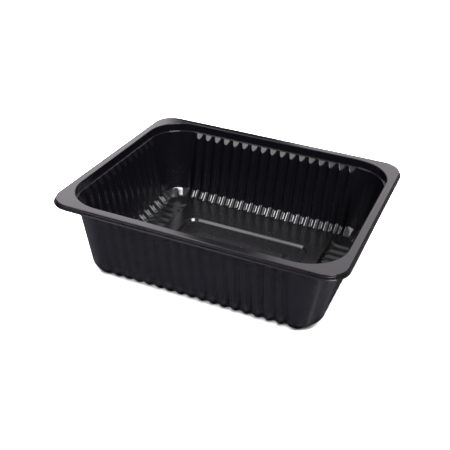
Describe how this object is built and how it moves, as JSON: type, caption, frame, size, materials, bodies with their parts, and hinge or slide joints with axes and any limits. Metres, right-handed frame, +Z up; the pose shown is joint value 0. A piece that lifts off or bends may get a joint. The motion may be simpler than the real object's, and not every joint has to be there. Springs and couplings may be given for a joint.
{
  "type": "sealable food tray",
  "caption": "Black drawn-plastic food tray with a flat sealing flange, a stepped ledge, ribbed sloping walls and a raised, ribbed floor.",
  "frame": {"origin": "centre of the footprint, on the plane the tray stands on", "axes": "+X along the long sides, +Y along the short sides, +Z up out of the mouth"},
  "size_m": [0.2036, 0.1706, 0.06],
  "materials": {
    "tray_plastic": "gloss"
  },
  "bodies": {
    "root": {"tray": "tray_plastic"}
  },
  "joints": []
}
